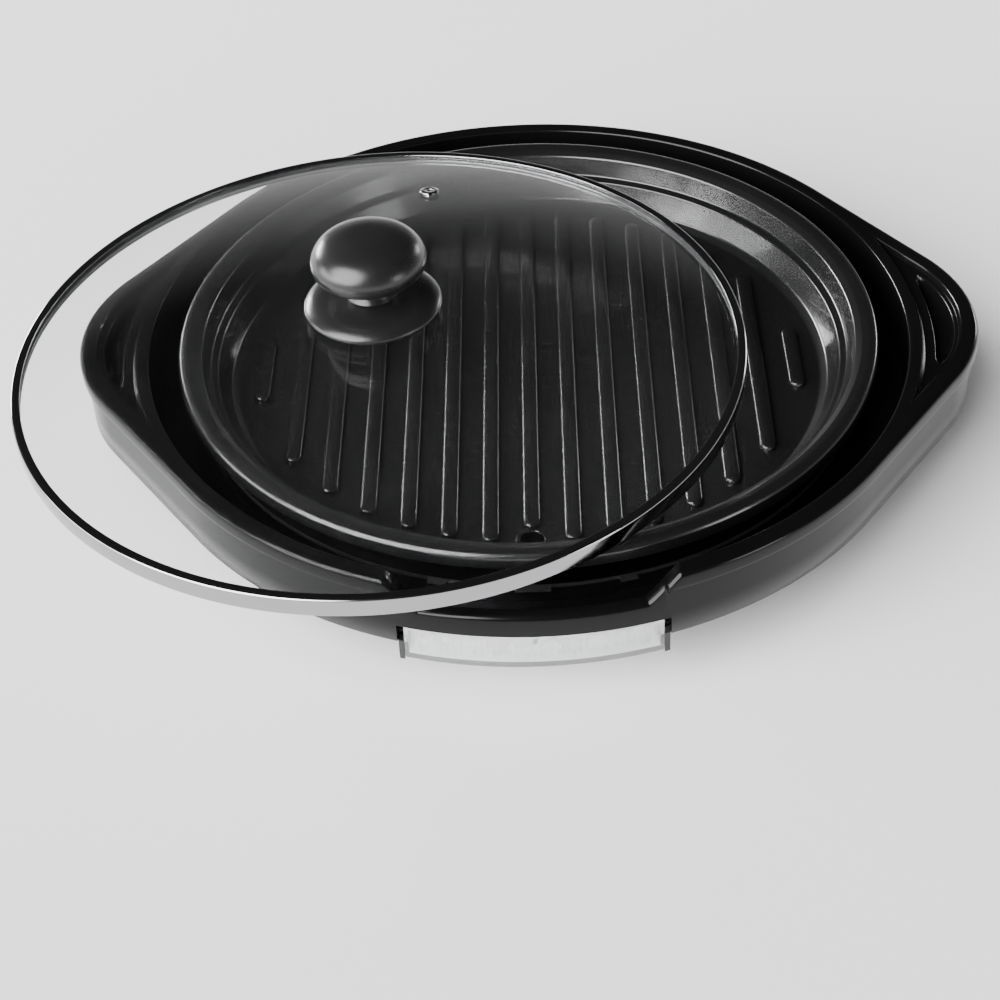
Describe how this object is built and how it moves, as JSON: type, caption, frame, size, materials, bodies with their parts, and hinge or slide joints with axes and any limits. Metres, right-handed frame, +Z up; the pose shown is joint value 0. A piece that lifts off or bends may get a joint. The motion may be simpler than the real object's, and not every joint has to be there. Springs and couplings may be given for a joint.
{
  "type": "electric griddle",
  "caption": "Round electric table griddle: ribbed lift-out plate in an eye-shaped black base with handles, glass lid with knob, clear drip tray.",
  "frame": {"origin": "on the table, under the middle of the plate", "axes": "+Z up, -Y towards the drip tray at the front, +X towards the right handle"},
  "size_m": [0.4649, 0.3952, 0.1432],
  "materials": {
    "black_plastic": "gloss",
    "matt_black_plastic": "matt",
    "screw_steel": "zinc plated",
    "feet_rubber": "matt",
    "dish_steel": "bright aluminised sheet",
    "element_steel": "oxidised stainless tube",
    "white_ceramic": "matt",
    "inlet_plastic": "phenolic",
    "pin_nickel": "nickel plated",
    "wire_sleeve": "glass-fibre sleeve",
    "wire_green": "insulated",
    "nonstick_aluminium": "glossy dark non-stick coating",
    "clear_plastic": "clear, slightly frosted",
    "lid_glass": "tempered clear",
    "polished_steel": "polished stainless",
    "seal_rubber": "silicone",
    "knob_plastic": "satin gloss phenolic",
    "insert_brass": "machined"
  },
  "bodies": {
    "base": {"base_shell": "black_plastic", "bottom_cover": "matt_black_plastic", "cover_screws": "screw_steel", "rubber_feet": "feet_rubber", "foot_screws": "screw_steel", "reflector_dish": "dish_steel", "reflector_screws": "screw_steel", "plate_supports": "dish_steel", "heating_element": "element_steel", "element_clips": "dish_steel", "terminal_block": "white_ceramic", "terminal_bracket": "dish_steel", "inlet_housing": "inlet_plastic", "inlet_pins": "pin_nickel", "inlet_screws": "screw_steel", "thermal_limiter": "white_ceramic", "limiter_bracket": "dish_steel", "thermal_fuse": "white_ceramic", "internal_wires": "wire_sleeve", "earth_wire": "wire_green", "tray_bay": "matt_black_plastic", "bay_screws": "screw_steel"},
    "plate": {"grill_plate": "nonstick_aluminium"},
    "lid": {"lid_glass": "lid_glass", "lid_rim_band": "polished_steel", "lid_seal": "seal_rubber", "steam_vent": "polished_steel", "knob_cap": "knob_plastic", "knob_disc": "knob_plastic", "knob_insert": "insert_brass", "knob_screw": "screw_steel", "knob_washers": "seal_rubber", "screw_washer": "screw_steel"},
    "tray": {"drip_tray": "clear_plastic"}
  },
  "joints": [
    {"name": "plate_lift", "type": "slide", "parent": "base", "child": "plate", "axis": [0, 0, 1], "range_m": [0, 0.12]},
    {"name": "lid_lift", "type": "slide", "parent": "plate", "child": "lid", "axis": [0, 0, 1], "range_m": [0, 0.15]},
    {"name": "tray_slide", "type": "slide", "parent": "base", "child": "tray", "axis": [0, -1, 0], "range_m": [0, 0.08]}
  ]
}
